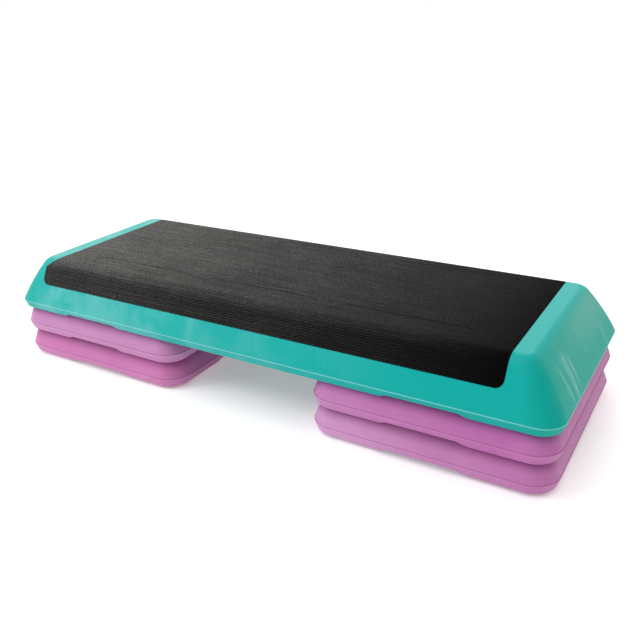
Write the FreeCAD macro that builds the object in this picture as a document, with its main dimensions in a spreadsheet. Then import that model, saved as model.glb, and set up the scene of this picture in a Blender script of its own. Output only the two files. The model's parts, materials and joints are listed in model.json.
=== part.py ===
"""Aerobic step platform: a moulded platform with a ribbed mat, on two stacks of two risers.

Units are millimetres. X runs along the platform, Y across it and Z up from the floor.
Each piece is modelled above the plane that its own feet stand on, then placed in the stack.
"""
import FreeCAD, Part
import Sketcher
import math
import os

DRIVING_SIZES = (
    ("platform_length", 1092.0, "over the parting line, end to end"),
    ("platform_width", 406.0, "over the parting line, front to rear"),
    ("platform_height", 100.0, "bottom of the rim to the deck"),
    ("deck_thickness", 8.0, "deck plate, before the mat recess"),
    ("corner_radius", 39.0, "platform corners at the parting line, in plan"),
    ("deck_corner_radius", 27.0, "platform corners at the deck, in plan"),
    ("deck_edge_radius", 22.0, "rounding along the deck's edges"),
    ("deck_edge_bevel", 8.0, "bevel along the inner edges of the deck plate"),
    ("end_lean", 32.5, "lean of the platform's ends from vertical, degrees"),
    ("side_lean", 25.6, "lean of all other sides from vertical, degrees"),
    ("wall", 5.5, "side walls at the parting line, measured level"),
    ("platform_rim_height", 17.5, "bottom of the platform's rim to its parting line"),
    ("riser_rim_height", 19.0, "bottom of a riser's rim to its parting line"),
    ("rim_taper", 6.3, "how far the rim draws in towards its bottom"),
    ("rim_bevel", 4.0, "outer bevel at the bottom of the rim"),
    ("parting_lip", 1.0, "step outwards where the rim begins"),
    ("riser_end_inset", 1.5, "platform's end to the end of the square riser, at the parting line"),
    ("riser_corner_radius", 45.0, "riser corners at the parting line"),
    ("plateau_bevel", 5.0, "bevel along the riser's top edges"),
    ("plateau_thickness", 5.0, "riser top plate"),
    ("rise", 50.0, "height that each riser adds"),
    ("nest", 25.0, "how far a riser reaches into the piece above"),
    ("column_inset", 73.0, "riser's edge to the centre of its corner columns"),
    ("post_width", 34.0, "square corner posts"),
    ("post_wall", 4.0, "wall of the corner posts"),
    ("stack_clearance", 1.0, "play between a post and its cup, each side"),
    ("cup_wall", 4.0, "wall of the cups"),
    ("cup_floor", 4.0, "floor of the cups"),
    ("lead_in", 2.0, "bevel at the mouth of the cups"),
    ("foot_thickness", 5.0, "rubber foot below its post"),
    ("foot_margin", 1.0, "how far the foot keeps inside its post"),
    ("foot_bevel", 1.5, "bevel of the foot's lower edge"),
    ("plug_length", 12.0, "plug of the foot inside its post"),
    ("plug_clearance", 0.1, "play of the plug in its post, each side"),
    ("riser_foot_proud", 3.5, "riser feet below the rim"),
    ("platform_foot_proud", 1.0, "platform feet below the rim"),
    ("rib_thickness", 3.0, "ribs under the decks"),
    ("rib_clearance", 1.0, "ribs above the riser that they pass over"),
    ("relief_length", 150.0, "relief along the bottom of the rim"),
    ("relief_height", 8.0, "relief, height"),
    ("relief_ramp", 17.0, "sloped end of the relief"),
    ("mat_end_band", 89.0, "bare deck from the platform's end to the mat"),
    ("mat_drop", 56.0, "bottom of the rim to the lower edge of the mat"),
    ("mat_corner_radius", 13.0, "lower corners of the mat"),
    ("mat_flare", 17.0, "how much further the flaps reach at the left end"),
    ("mat_flare_drop", 13.0, "height over which the flaps flare out"),
    ("mat_thickness", 2.6, "mat, flush with the shell round it"),
    ("mat_gap", 0.4, "gap round the edge of the mat"),
    ("mat_rib_pitch", 4.0, "spacing of the ribs on the mat"),
    ("mat_groove_width", 1.8, "grooves between the ribs"),
    ("mat_groove_depth", 0.9, "grooves between the ribs"),
)

# How far a cutting tool runs past the face that it cuts
OVERRUN = 2.0
# Ribs between the inner columns of the two stacks
MIDDLE_RIBS = 4
# Ribs over a riser, as shares of the way from its middle to its columns
RIB_SHARES = (-1, -1 / 3, 1 / 3, 1)
# Two heights closer than this are the same height
SAME_HEIGHT = 1e-4

doc = FreeCAD.newDocument("aerobic_step")
sheet = doc.addObject("Spreadsheet::Sheet", "Sizes")


def fill_sheet():
    """Writes each driving size into the sheet under its own alias."""
    for row, (alias, value, note) in enumerate(DRIVING_SIZES, start=1):
        sheet.set(f"A{row}", alias)
        sheet.set(f"B{row}", str(value))
        sheet.set(f"C{row}", note)
        sheet.setAlias(f"B{row}", alias)
    doc.recompute()


def value_of(expression):
    """The number that an expression of sheet sizes comes to."""
    result = sheet.evalExpression(expression)
    return float(getattr(result, "Value", result))


# Heights of the rims, from their bottom to the parting line
PLATFORM_RIM_HEIGHT = "Sizes.platform_rim_height"
RISER_RIM_HEIGHT = "Sizes.riser_rim_height"

# Heights above the plane that the feet stand on
PLATFORM_RIM = "Sizes.platform_foot_proud"
PLATFORM_PARTING = f"({PLATFORM_RIM} + {PLATFORM_RIM_HEIGHT})"
PLATFORM_TOP = f"({PLATFORM_RIM} + Sizes.platform_height)"
RISER_PARTING = f"(Sizes.riser_foot_proud + {RISER_RIM_HEIGHT})"
RISER_TOP = "(Sizes.rise + Sizes.nest)"
RIB_BOTTOM = "(Sizes.nest + Sizes.rib_clearance)"
BORE_TOP = "(Sizes.rise - Sizes.cup_floor)"

# A riser is a square, as wide as the platform over the parting line
RISER_SIZE = "Sizes.platform_width"

# Places in plan
STACK_X = f"((Sizes.platform_length - {RISER_SIZE}) / 2 - Sizes.riser_end_inset)"
COLUMN = f"({RISER_SIZE} / 2 - Sizes.column_inset)"

# Widths of a column, from the foot's plug outwards
BORE_WIDTH = "(Sizes.post_width - 2 * Sizes.post_wall)"
POCKET_WIDTH = "(Sizes.post_width + 2 * Sizes.stack_clearance)"
CUP_WIDTH = f"({POCKET_WIDTH} + 2 * Sizes.cup_wall)"


def origin_plane(body, role):
    """One of the three planes through the body's own origin."""
    return next(item for item in body.Origin.OriginFeatures if item.Role == role)


def new_sketch(body, name, role):
    """A sketch on one of the body's origin planes."""
    sketch = body.newObject("Sketcher::SketchObject", name)
    sketch.AttachmentSupport = [(origin_plane(body, role), "")]
    sketch.MapMode = "FlatFace"
    return sketch


def dimension(sketch, name, constraint, expression):
    """Adds a dimension to a sketch and binds it to the sheet."""
    index = sketch.addConstraint(constraint)
    sketch.renameConstraint(index, name)
    sketch.setExpression(f"Constraints.{name}", expression)


def rounded_rectangle(sketch, length, width, radius):
    """A rectangle with round corners, centred on the sketch's origin."""
    half_length = value_of(length) / 2
    half_width = value_of(width) / 2
    bend = value_of(radius)
    inner_x = half_length - bend
    inner_y = half_width - bend
    axis = FreeCAD.Vector(0, 0, 1)
    runs = (
        ((-inner_x, -half_width), (inner_x, -half_width), (inner_x, -inner_y)),
        ((half_length, -inner_y), (half_length, inner_y), (inner_x, inner_y)),
        ((inner_x, half_width), (-inner_x, half_width), (-inner_x, inner_y)),
        ((-half_length, inner_y), (-half_length, -inner_y), (-inner_x, -inner_y)),
    )
    for turn, (start, end, centre) in enumerate(runs):
        sketch.addGeometry(Part.LineSegment(FreeCAD.Vector(*start, 0), FreeCAD.Vector(*end, 0)))
        circle = Part.Circle(FreeCAD.Vector(*centre, 0), axis, bend)
        first_angle = (turn - 1) * math.pi / 2
        sketch.addGeometry(Part.ArcOfCircle(circle, first_angle, first_angle + math.pi / 2))
    for edge in range(8):
        sketch.addConstraint(Sketcher.Constraint("Tangent", edge, 2, (edge + 1) % 8, 1))
    for edge, kind in ((0, "Horizontal"), (2, "Vertical"), (4, "Horizontal"), (6, "Vertical")):
        sketch.addConstraint(Sketcher.Constraint(kind, edge))
    for arc in (3, 5, 7):
        sketch.addConstraint(Sketcher.Constraint("Equal", 1, arc))
    sketch.addConstraint(Sketcher.Constraint("Symmetric", 0, 1, 4, 1, -1, 1))
    dimension(sketch, "length", Sketcher.Constraint("DistanceX", 6, 1, 2, 1, 2 * half_length), length)
    dimension(sketch, "width", Sketcher.Constraint("DistanceY", 0, 1, 4, 1, 2 * half_width), width)
    dimension(sketch, "bend", Sketcher.Constraint("Radius", 1, bend), radius)


def trapezoid(sketch, middle, low, bottom, top, tall):
    """A trapezoid with level top and bottom and equal slopes, about a middle line."""
    left = f"({middle} - {bottom} / 2)"
    x_left, z_low, wide, narrow, height = (value_of(item) for item in (left, low, bottom, top, tall))
    ramp = (wide - narrow) / 2
    points = ((0, 0), (wide, 0), (wide - ramp, height), (ramp, height))
    corners = [FreeCAD.Vector(x_left + x, z_low + z, 0) for x, z in points]
    for index in range(4):
        sketch.addGeometry(Part.LineSegment(corners[index], corners[(index + 1) % 4]))
    for index in range(4):
        sketch.addConstraint(Sketcher.Constraint("Coincident", index, 2, (index + 1) % 4, 1))
    sketch.addConstraint(Sketcher.Constraint("Horizontal", 0))
    sketch.addConstraint(Sketcher.Constraint("Horizontal", 2))
    sketch.addConstraint(Sketcher.Constraint("Equal", 1, 3))
    dimension(sketch, "bottom", Sketcher.Constraint("DistanceX", 0, 1, 0, 2, wide), bottom)
    dimension(sketch, "top", Sketcher.Constraint("DistanceX", 2, 2, 2, 1, narrow), top)
    dimension(sketch, "tall", Sketcher.Constraint("DistanceY", 0, 2, 1, 2, height), tall)
    dimension(sketch, "left", Sketcher.Constraint("DistanceX", -1, 1, 0, 1, x_left), left)
    dimension(sketch, "low", Sketcher.Constraint("DistanceY", -1, 1, 0, 1, z_low), low)


def upright_faces(shape):
    """Names of the faces that stand upright all over."""
    names = []
    for index, face in enumerate(shape.Faces, start=1):
        first_u, last_u, first_v, last_v = face.ParameterRange
        normal = face.normalAt((first_u + last_u) / 2, (first_v + last_v) / 2)
        if abs(normal.z) < SAME_HEIGHT:
            names.append(f"Face{index}")
    return names


def edges_at(shape, height):
    """Names of the edges that lie level at one height."""
    names = []
    for index, edge in enumerate(shape.Edges, start=1):
        box = edge.BoundBox
        if abs(box.ZMin - height) < SAME_HEIGHT and abs(box.ZMax - height) < SAME_HEIGHT:
            names.append(f"Edge{index}")
    return names


def rim_lean(rim_height):
    """Lean of a rim, which draws in downwards."""
    return f"atan(Sizes.rim_taper / {rim_height})"


def drafted_pad(body, name, plan, height, lean, downwards):
    """Pads a rounded rectangle up or down from the parting plane, with sides that draw in on the way."""
    sketch = new_sketch(body, f"{name}_plan", "XY_Plane")
    rounded_rectangle(sketch, *plan)
    pad = body.newObject("PartDesign::Pad", name)
    pad.Profile = sketch
    pad.Reversed = downwards
    pad.setExpression("Length", height)
    doc.recompute()
    volume_before = pad.Shape.Volume
    draft = body.newObject("PartDesign::Draft", f"{name}_draft")
    draft.Base = (pad, upright_faces(pad.Shape))
    draft.NeutralPlane = (origin_plane(body, "XY_Plane"), [""])
    draft.Reversed = downwards
    draft.setExpression("Angle", lean)
    doc.recompute()
    if draft.Shape.Volume >= volume_before:
        raise RuntimeError(f"{name} doesn't draw in")


def dress_edges(body, kind, name, height, size, expression):
    """Rounds or bevels the level edges of the body at one height."""
    base = body.Tip
    dressing = body.newObject(kind, name)
    dressing.Base = (base, edges_at(base.Shape, value_of(height)))
    dressing.setExpression(size, expression)
    doc.recompute()


def relieve_rim(body, name, role, along, rim_height):
    """Cuts a shallow relief with sloped ends through the rim on both sides of the body."""
    sketch = new_sketch(body, name, role)
    top = "(Sizes.relief_length - 2 * Sizes.relief_ramp)"
    tall = f"(Sizes.relief_height + {OVERRUN})"
    bottom = f"({top} + 2 * Sizes.relief_ramp * {tall} / Sizes.relief_height)"
    trapezoid(sketch, along, f"(-{rim_height} - {OVERRUN})", bottom, top, tall)
    volume_before = body.Shape.Volume
    pocket = body.newObject("PartDesign::Pocket", f"{name}_cut")
    pocket.Profile = sketch
    pocket.Type = "ThroughAll"
    pocket.Midplane = True
    doc.recompute()
    if pocket.Shape.Volume >= volume_before:
        raise RuntimeError(f"{name} cuts nothing")


def level_box(name, low, size):
    """A box from its lowest corner and its size along each axis."""
    box = doc.addObject("Part::Box", name)
    for axis, expression in zip("xyz", low):
        box.setExpression(f"Placement.Base.{axis}", expression)
    for side, expression in zip(("Length", "Width", "Height"), size):
        box.setExpression(side, expression)
    return box


def column_box(name, place, low, height, width):
    """A square column about an upright line."""
    x, y = place
    return level_box(name, (f"{x} - {width} / 2", f"{y} - {width} / 2", low), (width, width, height))


def leaning_box(name, place, height, low_size, high_size):
    """A box whose sides lean, from its sizes along X and Y at the bottom and at the top."""
    wedge = doc.addObject("Part::Wedge", name)
    wedge.Placement.Rotation = FreeCAD.Rotation(FreeCAD.Vector(1, 0, 0), 90)
    for axis, expression in zip("xyz", place):
        wedge.setExpression(f"Placement.Base.{axis}", expression)
    wedge.setExpression("Ymin", "0")
    wedge.setExpression("Ymax", height)
    for level, (length, width) in (("", low_size), ("2", high_size)):
        for axis, size in (("X", length), ("Z", width)):
            wedge.setExpression(f"{axis}{level}min", f"-{size} / 2")
            wedge.setExpression(f"{axis}{level}max", f"{size} / 2")
    return wedge


def rib_grid(name, plan, places, top):
    """Ribs across, one at each place along X, and four along, on the lines of the columns."""
    length, width = plan
    ribs = []
    for number, place in enumerate(places, start=1):
        low = (f"{place} - Sizes.rib_thickness / 2", f"-{width} / 2", RIB_BOTTOM)
        size = ("Sizes.rib_thickness", width, f"{top} - {RIB_BOTTOM}")
        ribs.append(level_box(f"{name}_cross_rib_{number}", low, size))
    for number, share in enumerate(RIB_SHARES, start=1):
        low = (f"-{length} / 2", f"{share} * {COLUMN} - Sizes.rib_thickness / 2", RIB_BOTTOM)
        size = (length, "Sizes.rib_thickness", f"{top} - {RIB_BOTTOM}")
        ribs.append(level_box(f"{name}_long_rib_{number}", low, size))
    return ribs


def fused(name, shapes):
    """One solid from several."""
    fuse = doc.addObject("Part::MultiFuse", name)
    fuse.Shapes = shapes
    return fuse


def cut(name, base, tool):
    """A solid with a tool taken away."""
    result = doc.addObject("Part::Cut", name)
    result.Base = base
    result.Tool = tool
    return result


def common(name, first, second):
    """What two solids share."""
    result = doc.addObject("Part::Common", name)
    result.Base = first
    result.Tool = second
    return result


def signs():
    """The four corners of a riser, as signs along X and Y."""
    return [(x, y) for x in (-1, 1) for y in (-1, 1)]


def riser_form(name, top, wall, lip):
    """The riser's form about its parting plane: a rim that tapers down and sides that lean in above.

    A wall thickness gives the same form drawn in by it, for the hollow inside."""
    body = doc.addObject("PartDesign::Body", name)
    size = f"({RISER_SIZE} - 2 * {wall})"
    radius = f"(Sizes.riser_corner_radius - {wall})"
    rim_plan = (size, size, radius)
    drafted_pad(body, f"{name}_rim", rim_plan, RISER_RIM_HEIGHT, rim_lean(RISER_RIM_HEIGHT), True)
    stepped = f"({size} - 2 * {lip})"
    plan = (stepped, stepped, f"({radius} - {lip})")
    drafted_pad(body, f"{name}_sides", plan, f"({top} - {RISER_PARTING})", "Sizes.side_lean", False)
    body.setExpression("Placement.Base.z", RISER_PARTING)
    return body


def make_riser():
    """One riser: a hollow square block with cups in its top and posts under them."""
    outside = riser_form("riser_outside", RISER_TOP, "0", "Sizes.parting_lip")
    top = f"({RISER_TOP} - {RISER_PARTING})"
    dress_edges(outside, "PartDesign::Chamfer", "riser_top_bevel", top, "Size", "Sizes.plateau_bevel")
    dress_edges(outside, "PartDesign::Chamfer", "riser_rim_bevel", f"-{RISER_RIM_HEIGHT}", "Size",
                "Sizes.rim_bevel")
    relieve_rim(outside, "riser_side_relief", "XZ_Plane", "0", RISER_RIM_HEIGHT)
    relieve_rim(outside, "riser_end_relief", "YZ_Plane", "0", RISER_RIM_HEIGHT)
    inside = riser_form("riser_inside", f"({RISER_TOP} - Sizes.plateau_thickness)", "Sizes.wall", "0")
    plan = (RISER_SIZE, RISER_SIZE)
    bones = rib_grid("riser", plan, [f"{share} * {COLUMN}" for share in RIB_SHARES], RISER_TOP)
    holes = []
    for number, (x, y) in enumerate(signs(), start=1):
        place = (f"{x} * {COLUMN}", f"{y} * {COLUMN}")
        bones.append(column_box(f"riser_post_{number}", place, "Sizes.foot_thickness",
                                f"{RISER_TOP} - Sizes.foot_thickness", "Sizes.post_width"))
        bones.append(column_box(f"riser_cup_{number}", place, BORE_TOP,
                                f"{RISER_TOP} - {BORE_TOP}", CUP_WIDTH))
        holes.append(column_box(f"riser_pocket_{number}", place, "Sizes.rise",
                                f"Sizes.nest + {OVERRUN}", POCKET_WIDTH))
        mouth = f"({POCKET_WIDTH} + 2 * Sizes.lead_in)"
        holes.append(leaning_box(f"riser_lead_in_{number}", (*place, f"{RISER_TOP} - Sizes.lead_in"),
                                 "Sizes.lead_in", (POCKET_WIDTH, POCKET_WIDTH), (mouth, mouth)))
        holes.append(column_box(f"riser_bore_{number}", place, f"Sizes.foot_thickness - {OVERRUN}",
                                f"{BORE_TOP} - Sizes.foot_thickness + {OVERRUN}", BORE_WIDTH))
    hollow = cut("riser_hollow", inside, fused("riser_bones", bones))
    return cut("riser", cut("riser_block", outside, hollow), fused("riser_holes", holes))


def ball_radius(plan_radius):
    """Radius of a rounding, square to the platform's leaning corner edges, that looks like the given
    radius in plan: both keep the same distance from the sharp corner."""
    end_lean = math.radians(value_of("Sizes.end_lean"))
    side_lean = math.radians(value_of("Sizes.side_lean"))
    edge_slope = math.sqrt(1 + math.tan(end_lean) ** 2 + math.tan(side_lean) ** 2)
    half_turn = math.acos(math.sin(end_lean) * math.sin(side_lean)) / 2
    return value_of(plan_radius) * (math.sqrt(2) - 1) / (edge_slope * (1 / math.cos(half_turn) - 1))


def platform_form(name, top, wall, low_radius, high_radius):
    """The platform's form about its parting plane, or the same drawn in by a wall thickness.

    Its ends lean more than its sides, so its corners are roundings that change along their edges."""
    height = f"({top} - {PLATFORM_PARTING})"
    length = f"(Sizes.platform_length - 2 * {wall})"
    width = f"(Sizes.platform_width - 2 * {wall})"
    low_size = (f"({length} - 2 * Sizes.parting_lip)", f"({width} - 2 * Sizes.parting_lip)")
    high_size = (f"({low_size[0]} - 2 * {height} * tan(Sizes.end_lean))",
                 f"({low_size[1]} - 2 * {height} * tan(Sizes.side_lean))")
    block = leaning_box(f"{name}_block", ("0", "0", "0"), height, low_size, high_size)
    doc.recompute()
    low_round = ball_radius(f"{low_radius} - Sizes.parting_lip")
    high_round = ball_radius(high_radius)
    edges = []
    for index, edge in enumerate(block.Shape.Edges, start=1):
        first = edge.valueAt(edge.FirstParameter).z
        last = edge.valueAt(edge.LastParameter).z
        if abs(last - first) > SAME_HEIGHT:
            edges.append((index, low_round, high_round) if first < last else (index, high_round, low_round))
    corners = doc.addObject("Part::Fillet", f"{name}_corners")
    corners.Base = block
    corners.Edges = edges
    doc.recompute()
    body = doc.addObject("PartDesign::Body", name)
    body.BaseFeature = corners
    doc.recompute()
    rim_plan = (length, width, low_radius)
    drafted_pad(body, f"{name}_rim", rim_plan, PLATFORM_RIM_HEIGHT, rim_lean(PLATFORM_RIM_HEIGHT), True)
    body.setExpression("Placement.Base.z", PLATFORM_PARTING)
    return body


def deck_form(name, inset):
    """A bar along the platform with the section of its deck and long sides, drawn in by an inset."""
    body = doc.addObject("PartDesign::Body", name)
    sketch = new_sketch(body, f"{name}_section", "YZ_Plane")
    tall = f"({PLATFORM_TOP} - {inset} - {PLATFORM_PARTING})"
    bottom = f"(Sizes.platform_width - 2 * (Sizes.parting_lip + {inset} / cos(Sizes.side_lean)))"
    top = f"({bottom} - 2 * {tall} * tan(Sizes.side_lean))"
    trapezoid(sketch, "0", PLATFORM_PARTING, bottom, top, tall)
    pad = body.newObject("PartDesign::Pad", f"{name}_bar")
    pad.Profile = sketch
    pad.Midplane = True
    pad.setExpression("Length", "Sizes.platform_length")
    doc.recompute()
    along = [edge for edge in edges_at(pad.Shape, value_of(f"{PLATFORM_TOP} - {inset}"))
             if pad.Shape.getElement(edge).BoundBox.YLength < SAME_HEIGHT]
    rounding = body.newObject("PartDesign::Fillet", f"{name}_edges")
    rounding.Base = (pad, along)
    rounding.setExpression("Radius", f"Sizes.deck_edge_radius - {inset}")
    doc.recompute()
    return body


def mat_prism(name, gap):
    """A bar across the platform with the mat's outline from the front: round lower corners, and a
    left end that flares out below the deck."""
    body = doc.addObject("PartDesign::Body", name)
    sketch = new_sketch(body, f"{name}_outline", "XZ_Plane")
    right = f"(Sizes.platform_length / 2 - Sizes.mat_end_band + {gap})"
    flared = f"({right} + Sizes.mat_flare)"
    low = f"({PLATFORM_RIM} + Sizes.mat_drop - {gap})"
    bend = f"(Sizes.mat_corner_radius + {gap})"
    above = f"({PLATFORM_TOP} + {OVERRUN})"
    x_right, x_flared, z_low, radius = (value_of(item) for item in (right, flared, low, bend))
    z_deck = value_of(PLATFORM_TOP)
    z_flared = value_of(f"{PLATFORM_TOP} - Sizes.mat_flare_drop")
    z_above = value_of(above)
    runs = (
        ((-x_flared + radius, z_low), (x_right - radius, z_low)),
        ((x_right, z_low + radius), (x_right, z_above)),
        ((x_right, z_above), (-x_right, z_above)),
        ((-x_right, z_above), (-x_right, z_deck)),
        ((-x_right, z_deck), (-x_flared, z_flared)),
        ((-x_flared, z_flared), (-x_flared, z_low + radius)),
    )
    for start, end in runs:
        sketch.addGeometry(Part.LineSegment(FreeCAD.Vector(*start, 0), FreeCAD.Vector(*end, 0)))
    axis = FreeCAD.Vector(0, 0, 1)
    for centre, first_angle in ((x_right - radius, -math.pi / 2), (-x_flared + radius, math.pi)):
        circle = Part.Circle(FreeCAD.Vector(centre, z_low + radius, 0), axis, radius)
        sketch.addGeometry(Part.ArcOfCircle(circle, first_angle, first_angle + math.pi / 2))
    for first, second in ((0, 6), (6, 1), (5, 7), (7, 0)):
        sketch.addConstraint(Sketcher.Constraint("Tangent", first, 2, second, 1))
    for first, second in ((1, 2), (2, 3), (3, 4), (4, 5)):
        sketch.addConstraint(Sketcher.Constraint("Coincident", first, 2, second, 1))
    for run in (0, 2):
        sketch.addConstraint(Sketcher.Constraint("Horizontal", run))
    for run in (1, 3, 5):
        sketch.addConstraint(Sketcher.Constraint("Vertical", run))
    sketch.addConstraint(Sketcher.Constraint("Equal", 6, 7))
    dimension(sketch, "bend", Sketcher.Constraint("Radius", 6, radius), bend)
    dimension(sketch, "low", Sketcher.Constraint("DistanceY", -1, 1, 0, 2, z_low), low)
    dimension(sketch, "right", Sketcher.Constraint("DistanceX", -1, 1, 1, 2, x_right), right)
    dimension(sketch, "left", Sketcher.Constraint("DistanceX", 3, 2, -1, 1, x_right), right)
    dimension(sketch, "flared", Sketcher.Constraint("DistanceX", 4, 2, -1, 1, x_flared), flared)
    dimension(sketch, "above", Sketcher.Constraint("DistanceY", -1, 1, 1, 2, z_above), above)
    dimension(sketch, "deck", Sketcher.Constraint("DistanceY", -1, 1, 3, 2, z_deck), PLATFORM_TOP)
    dimension(sketch, "flare_drop", Sketcher.Constraint("DistanceY", 4, 2, 4, 1, z_deck - z_flared),
              "Sizes.mat_flare_drop")
    pad = body.newObject("PartDesign::Pad", f"{name}_pad")
    pad.Profile = sketch
    pad.Midplane = True
    pad.setExpression("Length", "Sizes.platform_width")
    doc.recompute()
    return body


def mat_grooves():
    """Grooves along the mat, evenly spaced along its outline over the deck, the edges and the flaps.

    Each groove is a bar square to the outline at its distance from the middle."""
    pitch = value_of("Sizes.mat_rib_pitch")
    groove_width = value_of("Sizes.mat_groove_width")
    groove_depth = value_of("Sizes.mat_groove_depth")
    edge_radius = value_of("Sizes.deck_edge_radius")
    turn = math.radians(90 - value_of("Sizes.side_lean"))
    top = value_of(PLATFORM_TOP)
    length = value_of("Sizes.platform_length")
    side_run = f"({PLATFORM_TOP} - {PLATFORM_PARTING}) * tan(Sizes.side_lean)"
    half_deck = value_of(f"Sizes.platform_width / 2 - Sizes.parting_lip - {side_run}")
    flat = half_deck - edge_radius * math.tan(turn / 2)
    bend = edge_radius * turn
    drop = value_of(f"{PLATFORM_TOP} - {PLATFORM_RIM} - Sizes.mat_drop")
    flap = drop / math.sin(turn) - edge_radius * math.tan(turn / 2)
    count = int((flat + bend + flap - pitch / 2) / pitch)
    bars = []
    for number in range(-count, count + 1):
        side = 1 if number >= 0 else -1
        run = abs(number) * pitch
        angle = min(max(run - flat, 0) / edge_radius, turn)
        past = max(run - flat - bend, 0)
        across = min(run, flat) + edge_radius * math.sin(angle) + past * math.cos(turn)
        height = top - edge_radius * (1 - math.cos(angle)) - past * math.sin(turn)
        bar = Part.makeBox(length, groove_width, groove_depth + OVERRUN,
                           FreeCAD.Vector(-length / 2, -groove_width / 2, -groove_depth))
        bar.rotate(FreeCAD.Vector(), FreeCAD.Vector(1, 0, 0), -side * math.degrees(angle))
        bar.translate(FreeCAD.Vector(0, side * across, height))
        bars.append(bar)
    grooves = doc.addObject("Part::Feature", "mat_grooves")
    grooves.Shape = Part.makeCompound(bars)
    return grooves


def make_platform():
    """The platform's shell and the mat that lies in its recess."""
    outside = platform_form("platform_outside", PLATFORM_TOP, "0", "Sizes.corner_radius",
                            "Sizes.deck_corner_radius")
    top = f"({PLATFORM_TOP} - {PLATFORM_PARTING})"
    dress_edges(outside, "PartDesign::Fillet", "deck_edge", top, "Radius", "Sizes.deck_edge_radius")
    dress_edges(outside, "PartDesign::Chamfer", "platform_rim_bevel", f"-{PLATFORM_RIM_HEIGHT}", "Size",
                "Sizes.rim_bevel")
    relieve_rim(outside, "platform_left_relief", "XZ_Plane", f"-{STACK_X}", PLATFORM_RIM_HEIGHT)
    relieve_rim(outside, "platform_right_relief", "XZ_Plane", STACK_X, PLATFORM_RIM_HEIGHT)
    ceiling = f"({PLATFORM_TOP} - Sizes.deck_thickness)"
    inner_radius = "(Sizes.corner_radius - Sizes.wall)"
    inside = platform_form("platform_inside", ceiling, "Sizes.wall", inner_radius,
                           f"({inner_radius} - Sizes.parting_lip)")
    dress_edges(inside, "PartDesign::Chamfer", "deck_inner_bevel", f"({ceiling} - {PLATFORM_PARTING})",
                "Size", "Sizes.deck_edge_bevel")
    bed = deck_form("mat_bed", "Sizes.mat_thickness")
    band = cut("recess_band", deck_form("above_deck", f"(-{OVERRUN})"), bed)
    recess = common("mat_recess", band, mat_prism("recess_prism", "Sizes.mat_gap"))
    sheeting = cut("mat_sheet", deck_form("at_deck", "0"), bed)
    mat = cut("mat", common("mat_blank", sheeting, mat_prism("mat_prism", "0")), mat_grooves())

    stacks = (f"-{STACK_X}", STACK_X)
    places = [f"{stack} + {share} * {COLUMN}" for stack in stacks for share in RIB_SHARES]
    inner_column = f"({STACK_X} - {COLUMN})"
    for number in range(1, MIDDLE_RIBS + 1):
        places.append(f"{2 * number / (MIDDLE_RIBS + 1) - 1} * {inner_column}")
    plan = ("Sizes.platform_length", "Sizes.platform_width")
    bones = rib_grid("platform", plan, places, PLATFORM_TOP)
    bores = []
    columns = [(stack, x, y) for stack in stacks for x, y in signs()]
    for number, (stack, x, y) in enumerate(columns, start=1):
        place = (f"({stack} + {x} * {COLUMN})", f"{y} * {COLUMN}")
        bones.append(column_box(f"platform_post_{number}", place, "Sizes.foot_thickness",
                                f"{PLATFORM_TOP} - Sizes.foot_thickness", "Sizes.post_width"))
        bores.append(column_box(f"platform_bore_{number}", place, f"Sizes.foot_thickness - {OVERRUN}",
                                f"{BORE_TOP} - Sizes.foot_thickness + {OVERRUN}", BORE_WIDTH))
    hollow = cut("platform_hollow", inside, fused("platform_bones", bones))
    tools = fused("platform_cuts", [hollow, recess, fused("platform_bores", bores)])
    return cut("platform", outside, tools), mat


def make_foot():
    """A rubber foot: a square pad with a bevelled lower edge and a plug that pushes into a post."""
    body = doc.addObject("PartDesign::Body", "foot")
    pad_width = "(Sizes.post_width - 2 * Sizes.foot_margin)"
    plug_width = f"({BORE_WIDTH} - 2 * Sizes.plug_clearance)"
    blocks = (("foot_pad", pad_width, "0", "Sizes.foot_thickness"),
              ("foot_plug", plug_width, "Sizes.foot_thickness", "Sizes.plug_length"))
    for name, width, low, height in blocks:
        box = body.newObject("PartDesign::AdditiveBox", name)
        for axis, expression in zip("xyz", (f"-{width} / 2", f"-{width} / 2", low)):
            box.setExpression(f"Placement.Base.{axis}", expression)
        for side, expression in zip(("Length", "Width", "Height"), (width, width, height)):
            box.setExpression(side, expression)
        doc.recompute()
    dress_edges(body, "PartDesign::Chamfer", "foot_edge", "0", "Size", "Sizes.foot_bevel")
    return body


def placed(label, piece, x="0", y="0", z="0"):
    """Puts a piece of the stack in its place under its own label."""
    link = doc.addObject("App::Link", label)
    link.LinkedObject = piece
    link.Label = label
    for axis, expression in zip("xyz", (x, y, z)):
        link.setExpression(f"Placement.Base.{axis}", expression)
    return link


def assemble(platform, mat, riser, foot):
    """Stacks the pieces: two risers at each end, then the platform."""
    deck_height = "2 * Sizes.rise"
    pieces = [placed("platform_shell", platform, z=deck_height), placed("deck_mat", mat, z=deck_height)]
    levels = (("lower", "0 * Sizes.rise"), ("upper", "1 * Sizes.rise"))
    for side, hand in (("left", -1), ("right", 1)):
        stack = f"{hand} * {STACK_X}"
        for level, height in levels:
            pieces.append(placed(f"riser_{side}_{level}", riser, stack, "0", height))
        carriers = [(f"riser_{side}_{level}", height) for level, height in levels]
        carriers.append((f"platform_{side}", deck_height))
        for carrier, height in carriers:
            for x, y in signs():
                reach = "outer" if x == hand else "inner"
                row = "rear" if y > 0 else "front"
                pieces.append(placed(f"{carrier}_foot_{row}_{reach}", foot, f"{stack} + {x} * {COLUMN}",
                                     f"{y} * {COLUMN}", height))
    return pieces


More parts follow.
